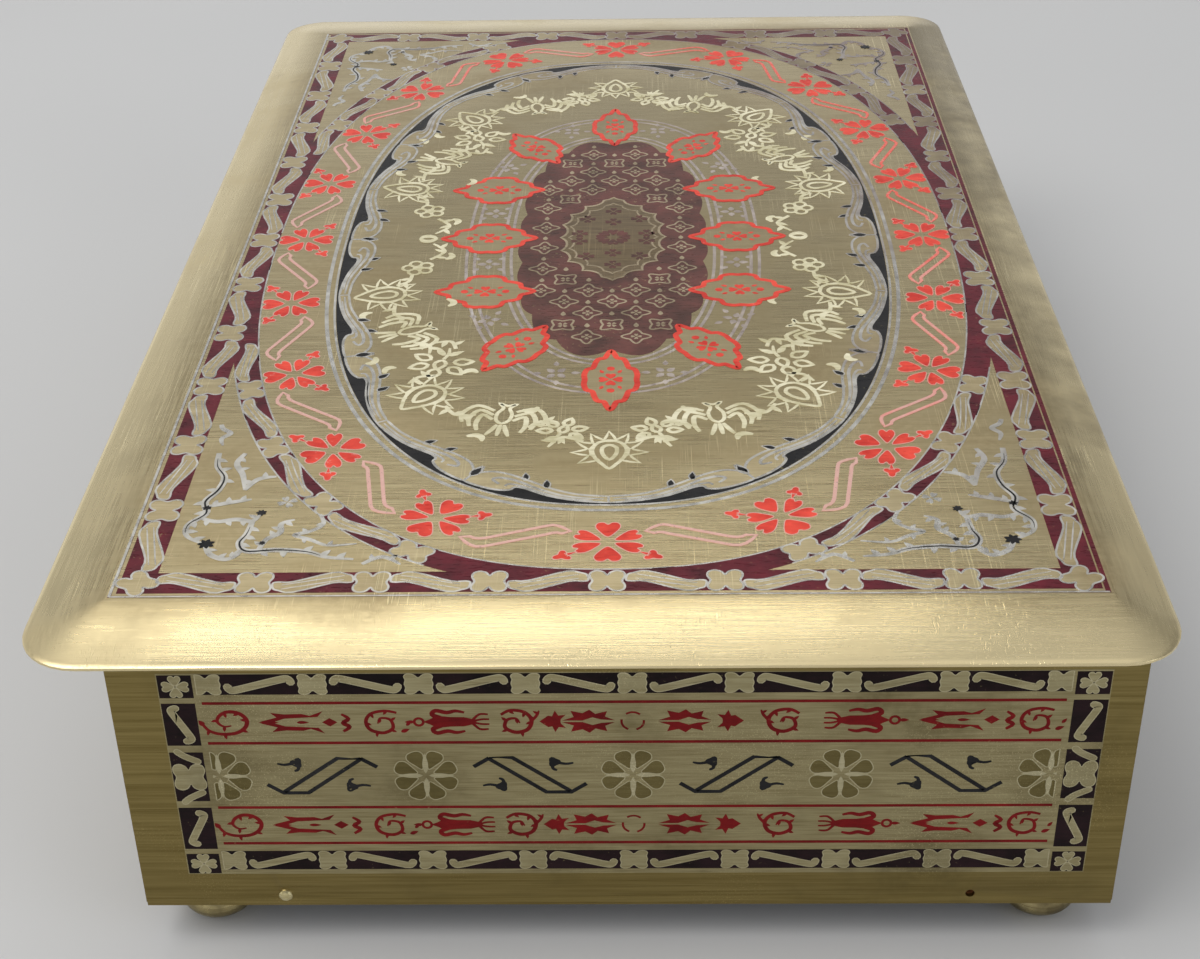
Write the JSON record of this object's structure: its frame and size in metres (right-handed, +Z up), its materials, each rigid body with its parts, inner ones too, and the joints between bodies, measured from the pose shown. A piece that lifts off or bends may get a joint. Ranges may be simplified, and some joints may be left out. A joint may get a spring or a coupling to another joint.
{
  "type": "hinged trinket box",
  "caption": "Rectangular cedar trinket box clad in etched and enamelled brass, with an overhanging dished brass lid on butt hinges and turned bun feet.",
  "frame": {"origin": "on the table, under the middle of the lid and of the feet's front-to-back spread", "axes": "+Z up, +X to the right seen from the front, +Y back towards the hinges"},
  "size_m": [0.115, 0.19, 0.0432],
  "materials": {
    "etched_brass": "brushed and worn, olive toned",
    "bright_brass": "polished, slightly tarnished",
    "turned_brass": "turned and tarnished",
    "cedar": "oiled, straight grain",
    "base_felt": "thin dark felt",
    "maroon_enamel": "worn gloss enamel",
    "dark_enamel": "worn gloss enamel",
    "red_enamel": "worn gloss enamel"
  },
  "bodies": {
    "box": {"back_dark_enamel": "dark_enamel", "back_plate": "etched_brass", "back_red_enamel": "red_enamel", "back_wall": "cedar", "base_board": "cedar", "base_felt": "base_felt", "cladding_nails": "bright_brass", "foot_back_left": "turned_brass", "foot_back_right": "turned_brass", "foot_front_left": "turned_brass", "foot_front_right": "turned_brass", "foot_studs": "bright_brass", "front_dark_enamel": "dark_enamel", "front_plate": "etched_brass", "front_red_enamel": "red_enamel", "front_wall": "cedar", "hinge_leaf_nails": "bright_brass", "left_dark_enamel": "dark_enamel", "left_hinge_box_leaf": "bright_brass", "left_hinge_pin": "bright_brass", "left_plate": "etched_brass", "left_red_enamel": "red_enamel", "left_wall": "cedar", "right_dark_enamel": "dark_enamel", "right_hinge_box_leaf": "bright_brass", "right_hinge_pin": "bright_brass", "right_plate": "etched_brass", "right_red_enamel": "red_enamel", "right_wall": "cedar"},
    "lid": {"left_hinge_lid_leaf": "bright_brass", "lid_black_enamel": "dark_enamel", "lid_board": "cedar", "lid_frame_enamel": "maroon_enamel", "lid_leaf_nails": "bright_brass", "lid_medallion_enamel": "maroon_enamel", "lid_plate": "etched_brass", "lid_red_enamel": "red_enamel", "right_hinge_lid_leaf": "bright_brass"}
  },
  "joints": [
    {"name": "lid_hinge", "type": "hinge", "parent": "box", "child": "lid", "pos_m": [0, 0.0913, 0.0408], "axis": [-1, 0, 0], "range_deg": [0, 105]}
  ]
}
